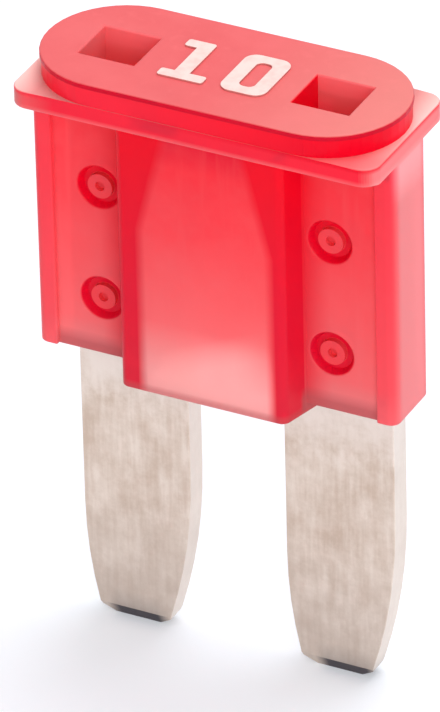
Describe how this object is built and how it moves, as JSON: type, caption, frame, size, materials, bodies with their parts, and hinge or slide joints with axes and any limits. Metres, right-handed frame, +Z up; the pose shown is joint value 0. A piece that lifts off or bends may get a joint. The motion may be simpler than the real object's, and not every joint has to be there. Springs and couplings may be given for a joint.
{
  "type": "automotive micro blade fuse",
  "caption": "Micro-size plug-in blade fuse: a see-through moulded housing with a round-ended head and test wells, staked onto a flat metal strip whose blades plug into a fuse socket.",
  "frame": {"origin": "on the housing's vertical middle line, level with the tips of the blades", "axes": "+Z up from the blade tips to the head, X along the housing from blade to blade, -Y to the face that the picture shows"},
  "size_m": [0.0092, 0.0038, 0.0154],
  "materials": {
    "housing_nylon": "translucent red nylon, smooth moulded",
    "plated_zinc": "matt tin-plated zinc alloy, stamped",
    "stamped_foil": "white hot-stamped foil"
  },
  "bodies": {
    "root": {"housing": "housing_nylon", "fuse_element": "plated_zinc", "rating_digits": "stamped_foil"}
  },
  "joints": []
}
